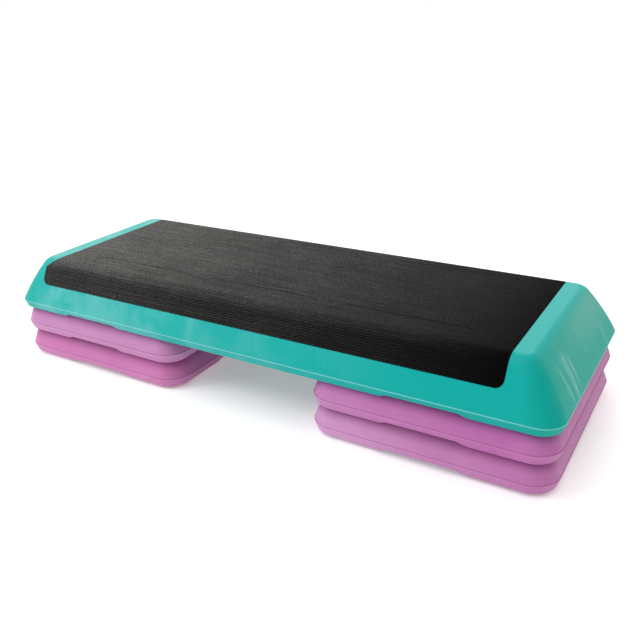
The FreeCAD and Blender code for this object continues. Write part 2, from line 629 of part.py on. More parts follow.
def check_document(pieces):
    """Stops the build if any object failed or any piece isn't one sound solid."""
    for item in doc.Objects:
        if "Invalid" in item.State or "Error" in item.State:
            raise RuntimeError(f"{item.Label} failed: {item.State}")
    for piece in pieces:
        shape = Part.getShape(piece)
        if shape.isNull() or not shape.isValid() or len(shape.Solids) != 1:
            raise RuntimeError(f"{piece.Label} isn't one sound solid")


def write_pieces(pieces):
    """Writes each piece in its place to a file of its own."""
    os.makedirs("parts", exist_ok=True)
    for piece in pieces:
        Part.getShape(piece).exportStep(f"parts/{piece.Label}.step")


def main():
    fill_sheet()
    riser = make_riser()
    platform, mat = make_platform()
    foot = make_foot()
    pieces = assemble(platform, mat, riser, foot)
    doc.recompute()
    check_document(pieces)
    write_pieces(pieces)


main()
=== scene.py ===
"""Aerobic step platform, dressed: moulded plastic platform and risers, ribbed mat and rubber feet.

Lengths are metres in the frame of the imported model: X along the platform, Y across it, Z up.
"""
import json
import math

import bmesh
import bpy
import numpy as np
from mathutils import Matrix, Vector


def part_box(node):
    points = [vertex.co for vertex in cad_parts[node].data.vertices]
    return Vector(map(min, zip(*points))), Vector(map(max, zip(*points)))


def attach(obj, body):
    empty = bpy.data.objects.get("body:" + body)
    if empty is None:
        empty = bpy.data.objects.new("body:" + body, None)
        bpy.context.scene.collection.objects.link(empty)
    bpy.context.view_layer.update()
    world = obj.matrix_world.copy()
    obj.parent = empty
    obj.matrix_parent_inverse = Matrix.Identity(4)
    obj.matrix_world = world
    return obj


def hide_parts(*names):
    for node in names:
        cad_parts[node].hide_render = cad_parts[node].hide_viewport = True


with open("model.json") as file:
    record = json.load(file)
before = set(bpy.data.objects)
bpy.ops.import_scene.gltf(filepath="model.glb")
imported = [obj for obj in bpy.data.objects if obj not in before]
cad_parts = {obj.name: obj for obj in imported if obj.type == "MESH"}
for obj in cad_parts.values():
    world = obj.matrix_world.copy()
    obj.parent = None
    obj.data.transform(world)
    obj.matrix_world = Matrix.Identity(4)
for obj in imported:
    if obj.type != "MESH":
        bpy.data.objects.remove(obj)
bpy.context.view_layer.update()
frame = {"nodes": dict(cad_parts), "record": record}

bl_info = {
    "name": "Aerobic step platform",
    "version": (1, 0, 0),
    "blender": (4, 5, 0),
    "location": "3D View > Sidebar > Step",
    "description": "Dresses a step platform on four risers: mouldings, ribbed mat, feet and studio",
    "category": "Add Mesh",
}

RISERS = ("riser_left_lower", "riser_left_upper", "riser_right_lower", "riser_right_upper")
BODY_OF = {
    node: body
    for body, nodes in frame["record"]["behaviour"]["bodies"].items()
    for node in nodes
}
FEET = sorted(node for node in BODY_OF if "_foot_" in node)

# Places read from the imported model
SHELL_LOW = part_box("platform_shell")[0]
MAT_LOW, MAT_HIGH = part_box("deck_mat")

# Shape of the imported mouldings: rims from their bottom to the parting line, and corners in plan
PLATFORM_RIM = 0.0175
PLATFORM_CORNER = 0.039
RISER_RIM = 0.019
RISER_CORNER = 0.045
PLATFORM_PARTING = float(SHELL_LOW.z) + PLATFORM_RIM
DECK_TOP = float(MAT_HIGH.z)

# Where the outer skin lies: its depth at the parting line and how fast the sides lean in from it,
# the inset of the rim's outer edges, and the depth and inset of the outer edges below the top
SKIN_DEPTH = 0.0025
STEEPEST_SIDE = 0.7
RIM_DEPTH = 0.0109
TOP_DEPTH = 0.0065
TOP_INSET = 0.035
# Rows of points across the rounded nose and up the crowned sides, as shares of their heights
NOSE_ROWS = (-1.0, -0.8, -0.6, -0.4, -0.2, 0.2, 0.4, 0.6, 0.8, 1.0)
CROWN_ROWS = (0.15, 0.25, 0.35, 0.45, 0.55, 0.65, 0.75)
# How far the platform's ends and all other sides lean in with height, and the depth that swells
END_LEAN = 0.637
SIDE_LEAN = 0.479
CROWNED_DEPTH = 0.012
# How far from the corners the ledge along the parting line is cut, and how level its points are
LEDGE_CUT = 0.010
LEDGE_LEVEL = 0.00002
# Points this close are one, points this close to a cut lie on it, and the least distance from which
# a direction is worked out
SAME_PLACE = 1e-5
ON_CUT = 1e-6
LEAST_REACH = 1e-9
# Turns up to which neighbouring faces count as flat, and from which an edge counts as sharp
FLAT_TURN = math.radians(0.2)
SHARP_TURN = math.radians(25)

# Mat: stations for each rib, turn from which its edges count as sharp, and places of the rows round
# its cut edges as shares of their rounding, down the flaps and along the platform
RIB_STATIONS = 8
MAT_SHARP_TURN = math.radians(50)
FLAP_EDGE = (0.8, 0.5, 0.25, 0.1, 0.0)
END_EDGE = (0.0, 0.1, 0.25, 0.5, 1.0)
# Shallow hollows of the mat: spacing along the platform, half of the straight part, distance of
# a row from the middle line, radius of the round ends and rows of points across such an end
HOLLOW_PITCH = 0.272
HOLLOW_STRAIGHT = 0.1005
HOLLOW_ROW = 0.117
HOLLOW_RADIUS = 0.0145
HOLLOW_END_ROWS = 10

# Rubber feet: height of the pad, width of the plug as a share of the pad's, points round the outline,
# power of its curve, turn from which edges count as sharp, and edge bevels of pad and plug
PAD_HEIGHT = 0.005
PLUG_SHARE = 0.8
FOOT_POINTS = 48
FOOT_POWER = 7.0
FOOT_SHARP_TURN = math.radians(40)
PAD_BEVEL = 0.0006
PLUG_BEVEL = 0.0008
# Inset and height of the points that round the pad's lower edge
PAD_ROUNDING = ((0.0016, 0.0), (0.0007, 0.0003), (0.0002, 0.0009), (0.0, 0.0018))
# Where the ring grooves begin, and their slope and width, as shares of a foot's half width
RING_STARTS = (0.30, 0.64)
RING_SLOPE = 0.04
RING_WIDTH = 0.16

# How much paler a riser's plastic is at its left end, as painted light that falls off to the right, and
# where it begins to pale and is palest
LIT_PALE_SHARE = {"riser_right_lower": 0.6, "riser_right_upper": 0.28}
LIT_PALE_START = 0.50
LIT_PALE_END = 0.15
# How much paler its soft patches are
PALE_PATCHES = 0.16
# Where along the platform its plastic begins to grow paler, from fade in mottled patches and from
# painted light from the left, and where it is palest
PALING_START = 0.40
PALING_END = -0.40
# Where along the platform its deck gives way to its ends
END_NEAR = 0.480
END_FAR = 0.505
# Heights between which the ends grow paler under a painted sheen, and how far across the platform they
# do so
SHEEN_LOW = PLATFORM_PARTING + 0.012
SHEEN_HIGH = DECK_TOP - 0.020
SHEEN_FRONT = -0.16
SHEEN_BACK = 0.12
# Middle of the patch of strokes on the right end, and how fast it fades along each axis
PATCH_PLACE = (0.52, -0.10, 0.15)
PATCH_FADING = (10.0, 23.0, 23.0)
# Strengths of the ends' own tint, of their painted sheen, of the strokes and of strokes off the patch
END_TINT = 0.6
SHEEN_TINT = 0.35
STROKE_TINT = 0.85
SMEAR_SHARE = 0.35
# How often strokes on the ends and streaks on the mat repeat along each axis, per metre
STROKE_SCALE = (10.0, 70.0, 9.0)
STREAK_SCALE = (9.0, 320.0, 320.0)
# Dust on the mat, with a painted sheen that grows to the left: its share half-way along, how fast that
# falls to the right, and the depth below the top of the deck over which it thins out. Dust on the feet:
# its share in the dusty patches
DUST_AND_SHEEN_MIDDLE = 0.475
DUST_AND_SHEEN_FALL = -1.05
DUST_DEPTH = 0.016
FOOT_DUST = 0.3
# Level lines round the mouldings: low and high place above the parting line, soft edge and strength.
# The lips are painted highlights, the line where the piece above nests over a riser is painted shade,
# and the seam is dirt and painted shade in the step above the parting line
PLATFORM_LIP_HIGHLIGHT = (-0.0014, 0.0004, 0.0004, 0.45)
RISER_NESTED_SHADE = (0.012, 0.048, 0.018, 0.48)
RISER_SEAM_SHADE = (-0.0003, 0.0013, 0.0005, 0.30)
RISER_LIP_HIGHLIGHT = (-0.0020, -0.0003, 0.0005, 0.22)
# Grains of the stipple and flecks of dust per metre, and the depth of the stipple
PLASTIC_GRAIN = 650.0
MAT_GRAIN = 900.0
FOOT_GRAIN = 1200.0
DUST_FLECKS = 420.0
GRAIN_DEPTH = 0.0004

# The photograph's camera: width of the image, focal length and centre in pixels, place in metres, and
# angles in degrees
IMAGE_WIDTH = 640
FOCAL_PIXELS = 737.44
IMAGE_CENTRE_X = 319.53
CAMERA_PLACE = (0.70609, -1.07872, 0.66608)
CAMERA_YAW = 31.26
CAMERA_PITCH = 23.84
CAMERA_ROLL = -1.88

# Light that the surround gives from all sides, and that the floor gives of itself, as a lit table does
SURROUND_GLOW = 0.18
FLOOR_GLOW = 0.32
# Broad lights: name, direction towards the light, spread in degrees, strength and tint
SOFT_LIGHTS = (
    ("high_light", (-0.10, -0.30, 0.95), 60.0, 1.7, (1.0, 1.0, 1.0)),
    ("right_back_light", (0.60, 0.65, 0.46), 60.0, 0.48, (1.0, 0.94, 0.66)),
    ("middle_back_light", (0.05, 0.85, 0.50), 70.0, 0.6, (1.0, 1.0, 1.0)),
    ("left_back_light", (-0.52, 0.80, 0.30), 60.0, 1.35, (1.0, 1.0, 1.0)),
)
# Softbox: place, point that it looks at, width and power in watts
SOFTBOX_PLACE = (-1.9, -1.5, 1.6)
SOFTBOX_TARGET = (0.0, 0.0, 0.1)
SOFTBOX_WIDTH = 1.2
SOFTBOX_POWER = 24.0
# Floor: radii of its rings and points round each
FLOOR_RADII = (2.0, 6.0, 30.0)
FLOOR_POINTS = 96


def length(name, description, default):
    """A length that a user would change."""
    return bpy.props.FloatProperty(name=name, description=description, default=default, min=0.0,
                                   precision=4, subtype="DISTANCE", unit="LENGTH")


def colour(name, description, default):
    """A colour that a user would change."""
    return bpy.props.FloatVectorProperty(name=name, description=description, default=default,
                                         size=3, min=0.0, max=1.0, subtype="COLOR")


class MatSizes(bpy.types.PropertyGroup):
    """Sizes of the ribbed mat."""
    thickness: length("Thickness", "Mat, from its bed to the tops of its ribs", 0.0025)
    rib_pitch: length("Rib pitch", "Spacing of the ribs along the outline", 0.004)
    groove_depth: length("Groove depth", "Depth of the grooves between the ribs", 0.0009)
    groove_width: length("Groove width", "Width of a groove at its mouth", 0.0024)
    edge_radius: length("Edge radius", "Rounding of the mat's cut edges", 0.0008)
    bend_radius: length("Bend radius", "Bend over the long edges of the deck", 0.022)
    corner_radius: length("Corner radius", "Lower corners of the flaps", 0.013)
    flare: length("Flare", "How much further the flaps reach at the left end", 0.017)
    flare_drop: length("Flare drop", "Height over which the flaps flare out", 0.013)
    flap_lean: bpy.props.FloatProperty(name="Flap lean", default=math.radians(25.6), subtype="ANGLE",
                                       unit="ROTATION", description="Lean of the flaps from vertical")
    hollow_depth: length("Hollow depth", "Depth of the six shallow hollows in the deck", 0.0005)
    hollow_edge: length("Hollow edge", "Width of the soft edge round a hollow", 0.004)


class MouldingSizes(bpy.types.PropertyGroup):
    """Sizes of the roundings on the moulded pieces."""
    edge_radius: length("Edge rounding", "Rounding of the rims and of the risers' tops", 0.0012)
    lip_radius: length("Lip rounding", "Rounding of the parting step and of the inner edges", 0.00035)
    nose_height: length("Nose height", "Height above and below the parting line that is rounded", 0.005)
    nose_pull: length("Nose pull", "How far the rounding draws in at the parting line", 0.0005)
    crown: bpy.props.FloatProperty(name="Crown", default=0.042, min=0.0,
                                   description="Swelling of the sides, as a share of height")
    foot_groove: length("Foot groove", "Depth of the grooves under the rubber feet", 0.0006)


class StepColours(bpy.types.PropertyGroup):
    """Colours of the pieces."""
    teal: colour("Teal", "Platform plastic", (0.005, 0.424, 0.396))
    # Pale teal: fade in mottled patches, and painted light towards the left
    faded_teal: colour("Faded teal", "Platform plastic where it is worn pale", (0.100, 0.508, 0.484))
    end_teal: colour("End teal", "Platform plastic of the ends", (0.004, 0.395, 0.318))
    # Pale teal of the strokes rubbed into the ends, and of their painted sheen
    rubbed_teal: colour("Rubbed teal", "Strokes rubbed into the platform's ends", (0.260, 0.580, 0.530))
    teal_grain: colour("Teal grain", "Tint of the platform's stipple", (0.500, 0.620, 0.620))
    # Painted highlight on the lip along the platform's parting line
    teal_lip: colour("Teal lip", "Edge along the platform's parting line", (0.400, 0.880, 0.880))
    left_lower: colour("Left lower pink", "Left lower riser", (0.600, 0.186, 0.438))
    left_upper: colour("Left upper pink", "Left upper riser", (0.570, 0.240, 0.492))
    right_lower: colour("Right lower pink", "Right lower riser", (0.540, 0.182, 0.446))
    right_upper: colour("Right upper pink", "Right upper riser", (0.515, 0.134, 0.412))
    # Pale pink: soft pale patches, and painted light towards the left of the right risers
    faded_pink: colour("Faded pink", "Riser plastic where it is worn pale", (0.700, 0.370, 0.640))
    # Painted shade where the piece above overhangs a riser
    rubbed_pink: colour("Rubbed pink", "Riser plastic where pieces nest", (0.200, 0.004, 0.150))
    pink_grain: colour("Pink grain", "Tint of the risers' stipple", (0.660, 0.550, 0.640))
    # Dirt and painted shade in the step above the risers' parting line
    pink_seam: colour("Pink seam", "Risers' parting line", (0.160, 0.030, 0.110))
    # Painted highlight on the lip below the risers' parting line
    pink_lip: colour("Pink lip", "Edge below the risers' parting line", (0.850, 0.550, 0.780))
    mat: colour("Mat black", "Mat rubber", (0.0022, 0.0022, 0.0022))
    dust: colour("Dust", "Dust on the mat and the feet", (0.180, 0.176, 0.170))
    foot: colour("Foot grey", "Rubber feet", (0.030, 0.030, 0.032))
    floor: colour("Floor", "Studio floor", (0.900, 0.900, 0.900))


def sizes_of_mat():
    """The mat's sizes as they are set."""
    return bpy.context.scene.step_mat


def sizes_of_moulding():
    """The mouldings' sizes as they are set."""
    return bpy.context.scene.step_moulding


def colours():
    """The colours as they are set."""
    return bpy.context.scene.step_colours


def add_node(tree, kind, place, inputs=(), **settings):
    """Adds a node, sets its options, and links or sets its inputs."""
    made = tree.nodes.new(kind)
    made.location = place
    for name, value in settings.items():
        setattr(made, name, value)
    for key, value in dict(inputs).items():
        if isinstance(value, bpy.types.NodeSocket):
            tree.links.new(value, made.inputs[key])
        else:
            made.inputs[key].default_value = value
    return made


def number(tree, operation, place, first, second=0.0, third=0.0, clamp=False):
    """The output of one arithmetic node."""
    made = add_node(tree, "ShaderNodeMath", place, {0: first, 1: second, 2: third},
                    operation=operation, use_clamp=clamp)
    return made.outputs[0]


def soft_step(tree, place, value, low, high):
    """Rises smoothly from 0 at low to 1 at high."""
    made = add_node(tree, "ShaderNodeMapRange", place,
                    {"Value": value, "From Min": low, "From Max": high},
                    interpolation_type="SMOOTHSTEP")
    return made.outputs["Result"]


def between(tree, place, share, least, most):
    """Goes evenly from the least value to the most by a share."""
    return number(tree, "MULTIPLY_ADD", place, share, most - least, least)


def blend_colours(tree, place, share, first, second, mode="MIX"):
    """Goes from the first colour to the second by a share."""
    made = add_node(tree, "ShaderNodeMix", place, {0: share, 6: first, 7: second},
                    data_type="RGBA", blend_type=mode)
    return made.outputs[2]


def new_group(name, inputs, outputs):
    """An empty shader group with named number and vector sockets."""
    tree = bpy.data.node_groups.new(name, "ShaderNodeTree")
    for socket, kind, default in inputs:
        made = tree.interface.new_socket(socket, in_out="INPUT", socket_type=kind)
        if default is not None:
            made.default_value = default
    for socket in outputs:
        tree.interface.new_socket(socket, in_out="OUTPUT", socket_type="NodeSocketFloat")
    entry = tree.nodes.new("NodeGroupInput")
    entry.location = (-900, 0)
    leave = tree.nodes.new("NodeGroupOutput")
    leave.location = (900, 0)
    return tree, entry, leave


def moulded_grain():
    """Fine stipple of a moulded or rubbed surface: noise, added to noise that is 2.7 times finer and
    half as strong."""
    sockets = (("Position", "NodeSocketVector", None), ("Scale", "NodeSocketFloat", 700.0))
    tree, entry, leave = new_group("moulded_grain", sockets, ("Height", "Shade"))
    coarse = add_node(tree, "ShaderNodeTexNoise", (-600, 150),
                      {"Vector": entry.outputs["Position"], "Scale": entry.outputs["Scale"],
                       "Detail": 2.0, "Roughness": 0.6})
    finer = number(tree, "MULTIPLY", (-600, -100), entry.outputs["Scale"], 2.7)
    fine = add_node(tree, "ShaderNodeTexNoise", (-350, -100),
                    {"Vector": entry.outputs["Position"], "Scale": finer, "Detail": 1.0})
    total = number(tree, "MULTIPLY_ADD", (0, 100), fine.outputs["Fac"], 0.5, coarse.outputs["Fac"])
    tree.links.new(total, leave.inputs["Height"])
    shade = soft_step(tree, (300, -100), coarse.outputs["Fac"], 0.3, 0.7)
    tree.links.new(shade, leave.inputs["Shade"])
    return tree


def clouds():
    """Large soft patches, such as fading and dust: noise of a given size, cut at a level."""
    sockets = (("Position", "NodeSocketVector", None), ("Scale", "NodeSocketFloat", 10.0),
               ("Level", "NodeSocketFloat", 0.5), ("Softness", "NodeSocketFloat", 0.2))
    tree, entry, leave = new_group("clouds", sockets, ("Mask",))
    noise = add_node(tree, "ShaderNodeTexNoise", (-600, 100),
                     {"Vector": entry.outputs["Position"], "Scale": entry.outputs["Scale"],
                      "Detail": 5.0, "Roughness": 0.55, "Distortion": 0.4})
    low = number(tree, "SUBTRACT", (-300, 0), entry.outputs["Level"], entry.outputs["Softness"])
    high = number(tree, "ADD", (-300, -200), entry.outputs["Level"], entry.outputs["Softness"])
    mask = soft_step(tree, (200, 100), noise.outputs["Fac"], low, high)
    tree.links.new(mask, leave.inputs["Mask"])
    return tree


def scuffs():
    """Thin strokes side by side: noise drawn out along one axis and cut near its top."""
    sockets = (("Position", "NodeSocketVector", None), ("Level", "NodeSocketFloat", 0.6),
               ("Softness", "NodeSocketFloat", 0.08))
    tree, entry, leave = new_group("scuffs", sockets, ("Mask",))
    noise = add_node(tree, "ShaderNodeTexNoise", (-600, 100),
                     {"Vector": entry.outputs["Position"], "Scale": 1.0, "Detail": 3.0,
                      "Roughness": 0.65})
    high = number(tree, "ADD", (-300, -100), entry.outputs["Level"], entry.outputs["Softness"])
    mask = soft_step(tree, (100, 100), noise.outputs["Fac"], entry.outputs["Level"], high)
    tree.links.new(mask, leave.inputs["Mask"])
    return tree


def band():
    """A level line round a piece: 1 between two heights, with soft edges."""
    sockets = (("Height", "NodeSocketFloat", 0.0), ("Low", "NodeSocketFloat", 0.0),
               ("High", "NodeSocketFloat", 0.0), ("Edge", "NodeSocketFloat", 0.0003))
    tree, entry, leave = new_group("band", sockets, ("Mask",))
    low_end = number(tree, "ADD", (-500, 150), entry.outputs["Low"], entry.outputs["Edge"])
    rise = soft_step(tree, (-200, 150), entry.outputs["Height"], entry.outputs["Low"], low_end)
    high_end = number(tree, "SUBTRACT", (-500, -150), entry.outputs["High"], entry.outputs["Edge"])
    fall = soft_step(tree, (-200, -150), entry.outputs["Height"], entry.outputs["High"], high_end)
    mask = number(tree, "MULTIPLY", (200, 0), rise, fall)
    tree.links.new(mask, leave.inputs["Mask"])
    return tree


def use_group(tree, group, place, inputs):
    """Places a shader group in a material with its own values. Its first use makes it."""
    made = bpy.data.node_groups.get(group.__name__) or group()
    return add_node(tree, "ShaderNodeGroup", place, inputs, node_tree=made)


def new_material(name):
    """A material with a Principled shader."""
    material = bpy.data.materials.new(name)
    material.use_nodes = True
    tree = material.node_tree
    tree.nodes.clear()
    output = add_node(tree, "ShaderNodeOutputMaterial", (1500, 0))
    shader = add_node(tree, "ShaderNodeBsdfPrincipled", (1200, 0))
    tree.links.new(shader.outputs["BSDF"], output.inputs["Surface"])
    return material, tree, shader


def object_place(tree):
    """The place on a piece."""
    return add_node(tree, "ShaderNodeTexCoord", (-1600, 0)).outputs["Object"]


def axes_of(tree, place):
    """A place on a piece, split into its axes."""
    return add_node(tree, "ShaderNodeSeparateXYZ", (-1350, -300), {"Vector": place}).outputs


def moved(tree, place, vector, location=(0, 0, 0), scale=(1, 1, 1)):
    """Shifts and stretches a pattern on a piece."""
    made = add_node(tree, "ShaderNodeMapping", place,
                    {"Vector": vector, "Location": location, "Scale": scale})
    return made.outputs["Vector"]


def opaque(rgb):
    """A colour with full alpha."""
    return (rgb[0], rgb[1], rgb[2], 1.0)


def level_line(tree, place, height, under, line, paint):
    """Paints a level line over a colour."""
    low, high, edge, strength = line
    stripe = use_group(tree, band, place,
                       {"Height": height, "Low": low, "High": high, "Edge": edge})
    share = number(tree, "MULTIPLY", (place[0] + 200, place[1]), stripe.outputs["Mask"], strength)
    return blend_colours(tree, (place[0] + 400, place[1]), share, under, opaque(paint))


def stippled(tree, place, under, grain, tint, strength):
    """Tints a colour by the shade of the stipple."""
    share = number(tree, "MULTIPLY", place, grain.outputs["Shade"], strength)
    return blend_colours(tree, (place[0] + 200, place[1]), share, under, opaque(tint), "MULTIPLY")


def finish_surface(tree, shader, base, grain, smoothest, roughest, bump):
    """Gives a shader its colour, and roughness and bump from the stipple."""
    tree.links.new(base, shader.inputs["Base Color"])
    rough = between(tree, (650, -100), grain.outputs["Shade"], smoothest, roughest)
    tree.links.new(rough, shader.inputs["Roughness"])
    bumped = add_node(tree, "ShaderNodeBump", (900, -300),
                      {"Height": grain.outputs["Height"], "Strength": bump, "Distance": GRAIN_DEPTH})
    tree.links.new(bumped.outputs["Normal"], shader.inputs["Normal"])


def end_wear(tree, place, axes, under):
    """Tints the platform's ends: in their own tint, paler towards their top and back under a painted
    sheen, and with strokes that run down them, most of them in one patch."""
    shade = colours()
    along = number(tree, "ABSOLUTE", (-1150, -450), axes["X"])
    at_end = soft_step(tree, (-900, -450), along, END_NEAR, END_FAR)
    end_share = number(tree, "MULTIPLY", (-650, -450), at_end, END_TINT)
    ended = blend_colours(tree, (0, 200), end_share, under, opaque(shade.end_teal))

    # Painted sheen: the ends drawn paler towards their top and back
    upwards = soft_step(tree, (-900, -1200), axes["Z"], SHEEN_LOW, SHEEN_HIGH)
    backwards = soft_step(tree, (-900, -1450), axes["Y"], SHEEN_FRONT, SHEEN_BACK)
    sheen_place = number(tree, "MULTIPLY", (-650, -1200), upwards, backwards)
    sheen_end = number(tree, "MULTIPLY", (-450, -1200), sheen_place, at_end)
    sheen_share = number(tree, "MULTIPLY", (-250, -1200), sheen_end, SHEEN_TINT)
    worn = blend_colours(tree, (0, 450), sheen_share, ended, opaque(shade.rubbed_teal))

    strokes_place = moved(tree, (-1150, -600), place, scale=STROKE_SCALE)
    strokes = use_group(tree, scuffs, (-900, -600),
                        {"Position": strokes_place, "Level": 0.44, "Softness": 0.26})
    smears = use_group(tree, clouds, (-900, -800),
                       {"Position": place, "Scale": 22.0, "Level": 0.56, "Softness": 0.12})
    to_middle = [-spot * fading for spot, fading in zip(PATCH_PLACE, PATCH_FADING)]
    patch_place = moved(tree, (-1150, -1000), place, location=to_middle, scale=PATCH_FADING)
    patch = add_node(tree, "ShaderNodeTexGradient", (-900, -1000), {"Vector": patch_place},
                     gradient_type="SPHERICAL")
    patch_mask = soft_step(tree, (-650, -1000), patch.outputs["Fac"], 0.0, 0.5)
    smeared = number(tree, "MULTIPLY", (-650, -800), smears.outputs["Mask"], SMEAR_SHARE)
    much_rubbed = number(tree, "MAXIMUM", (-500, -900), patch_mask, smeared)
    rubbed = number(tree, "MULTIPLY", (-500, -600), strokes.outputs["Mask"], at_end)
    rubbed_share = number(tree, "MULTIPLY", (-300, -700), rubbed, much_rubbed)
    stroke_share = number(tree, "MULTIPLY", (-100, -700), rubbed_share, STROKE_TINT)
    return blend_colours(tree, (150, 200), stroke_share, worn, opaque(shade.rubbed_teal))


def platform_plastic():
    """Teal moulded plastic, paler to the left from fade in mottled patches and from painted light, worn
    at its ends under a painted sheen, with a painted highlight on the lip along the parting line and a
    fine stipple."""
    material, tree, shader = new_material("platform_plastic")
    shade = colours()
    place = object_place(tree)
    axes = axes_of(tree, place)
    height = number(tree, "SUBTRACT", (-1150, -300), axes["Z"], PLATFORM_PARTING)
    fading = use_group(tree, clouds, (-900, 300),
                       {"Position": place, "Scale": 14.0, "Level": 0.5, "Softness": 0.12})
    # Paler to the left: painted light from the left, with fade in mottled patches
    to_left = soft_step(tree, (-900, 0), axes["X"], PALING_START, PALING_END)
    mottled = between(tree, (-650, 250), fading.outputs["Mask"], 0.25, 1.0)
    paling_share = number(tree, "MULTIPLY", (-400, 200), mottled, to_left)
    base = blend_colours(tree, (-150, 300), paling_share, opaque(shade.teal), opaque(shade.faded_teal))
    # The ends, worn and under a painted sheen
    worn = end_wear(tree, place, axes, base)
    grain = use_group(tree, moulded_grain, (-900, -300),
                      {"Position": place, "Scale": PLASTIC_GRAIN})
    grained = stippled(tree, (150, -200), worn, grain, shade.teal_grain, strength=0.16)
    # Painted highlight on the lip along the parting line
    lip_highlighted = level_line(tree, (300, 0), height, grained, PLATFORM_LIP_HIGHLIGHT, shade.teal_lip)
    finish_surface(tree, shader, lip_highlighted, grain, smoothest=0.40, roughest=0.48, bump=0.1)
    shader.inputs["Specular IOR Level"].default_value = 0.11
    return material


def riser_plastic(name, tint, parting, lit_pale_share):
    """Pink moulded plastic with soft pale patches, paler to the left as painted light, with painted
    shade where the piece above nests over it, a dark line of dirt and painted shade along the parting
    line, a painted highlight on the lip below it and a fine stipple."""
    material, tree, shader = new_material(name)
    shade = colours()
    place = object_place(tree)
    axes = axes_of(tree, place)
    height = number(tree, "SUBTRACT", (-1150, -300), axes["Z"], parting)
    fading = use_group(tree, clouds, (-900, 300),
                       {"Position": place, "Scale": 12.0, "Level": 0.52, "Softness": 0.22})
    # Painted light: paler to the left, falling off towards the right
    to_left = soft_step(tree, (-900, 100), axes["X"], LIT_PALE_START, LIT_PALE_END)
    paler = number(tree, "MULTIPLY", (-700, 100), to_left, lit_pale_share)
    paling_share = number(tree, "MULTIPLY_ADD", (-500, 200), fading.outputs["Mask"], PALE_PATCHES,
                        paler)
    paled = blend_colours(tree, (-400, 300), paling_share, opaque(tint), opaque(shade.faded_pink))
    # Painted shade where the piece above overhangs the riser
    shaded_nest = level_line(tree, (-700, -100), height, paled, RISER_NESTED_SHADE, shade.rubbed_pink)
    grain = use_group(tree, moulded_grain, (-900, -300),
                      {"Position": place, "Scale": PLASTIC_GRAIN})
    grained = stippled(tree, (-250, -200), shaded_nest, grain, shade.pink_grain, strength=0.14)
    # Dirt and painted shade in the step above the parting line
    seam_shaded = level_line(tree, (-50, 200), height, grained, RISER_SEAM_SHADE, shade.pink_seam)
    # Painted highlight on the lip below the parting line
    lip_highlighted = level_line(tree, (250, 0), height, seam_shaded, RISER_LIP_HIGHLIGHT, shade.pink_lip)
    finish_surface(tree, shader, lip_highlighted, grain, smoothest=0.44, roughest=0.52, bump=0.1)
    shader.inputs["Specular IOR Level"].default_value = 0.35
    return material


def mat_dust(tree, place, axes):
    """Share of the dust colour on the mat: dust with a painted sheen, more to the left, in streaks and
    patches, on the deck and on the ribs, in flecks, and less in the grooves and along the edges of the
    hollows, where shade is painted."""
    streak_place = moved(tree, (-1150, 300), place, scale=STREAK_SCALE)
    streaks = use_group(tree, scuffs, (-900, 300),
                        {"Position": streak_place, "Level": 0.40, "Softness": 0.25})
    patches = use_group(tree, clouds, (-900, 0),
                        {"Position": place, "Scale": 6.0, "Level": 0.5, "Softness": 0.3})
    # Dust and a painted sheen, growing to the left
    to_left = number(tree, "MULTIPLY_ADD", (-900, -250), axes["X"], DUST_AND_SHEEN_FALL, DUST_AND_SHEEN_MIDDLE, clamp=True)
    on_deck = soft_step(tree, (-900, -450), axes["Z"], DECK_TOP - DUST_DEPTH, DECK_TOP)
    patched = between(tree, (-650, 0), patches.outputs["Mask"], 0.8, 1.2)
    dust_and_sheen_sum = number(tree, "MULTIPLY", (-650, 150), patched, to_left)
    streaked = between(tree, (-650, 300), streaks.outputs["Mask"], 0.55, 0.85)
    dust = number(tree, "MULTIPLY", (-450, 100), dust_and_sheen_sum, streaked)
    lying = between(tree, (-450, -200), on_deck, 0.45, 1.0)
    lying_dust_and_sheen = number(tree, "MULTIPLY", (-250, 100), dust, lying)

    # Painted shade in the grooves between the ribs, deeper on the flaps
    ribs = add_node(tree, "ShaderNodeAttribute", (-900, -650), attribute_name="rib")
    grooves = number(tree, "SUBTRACT", (-650, -650), 1.0, ribs.outputs["Fac"])
    depth = between(tree, (-650, -450), on_deck, 0.75, 0.40)
    groove_shade = number(tree, "MULTIPLY", (-450, -500), grooves, depth)
    on_ribs = number(tree, "SUBTRACT", (-250, -500), 1.0, groove_shade)
    # Painted shade along the edges of the hollows
    edges = add_node(tree, "ShaderNodeAttribute", (-650, -850), attribute_name="hollow_edge")
    off_edges = between(tree, (-250, -700), edges.outputs["Fac"], 1.0, 0.55)
    left_over = number(tree, "MULTIPLY", (-100, -500), on_ribs, off_edges)
    flecks = use_group(tree, moulded_grain, (-450, -900),
                       {"Position": place, "Scale": DUST_FLECKS})
    flecked = between(tree, (-250, -900), flecks.outputs["Shade"], 0.5, 1.5)
    shaded_and_flecked = number(tree, "MULTIPLY", (-100, -200), left_over, flecked)
    return number(tree, "MULTIPLY", (-100, 100), lying_dust_and_sheen, shaded_and_flecked, clamp=True)


def mat_rubber():
    """Black ribbed rubber under dust and a painted sheen, with painted shade in its grooves and along
    its hollows, and a fine stipple.
    """
    material, tree, shader = new_material("mat_rubber")
    shade = colours()
    place = object_place(tree)
    axes = axes_of(tree, place)
    grey_share = mat_dust(tree, place, axes)
    base = blend_colours(tree, (50, 300), grey_share, opaque(shade.mat), opaque(shade.dust))
    grain = use_group(tree, moulded_grain, (-600, -300), {"Position": place, "Scale": MAT_GRAIN})
    finish_surface(tree, shader, base, grain, smoothest=0.48, roughest=0.60, bump=0.2)
    shader.inputs["Specular IOR Level"].default_value = 0.02
    return material


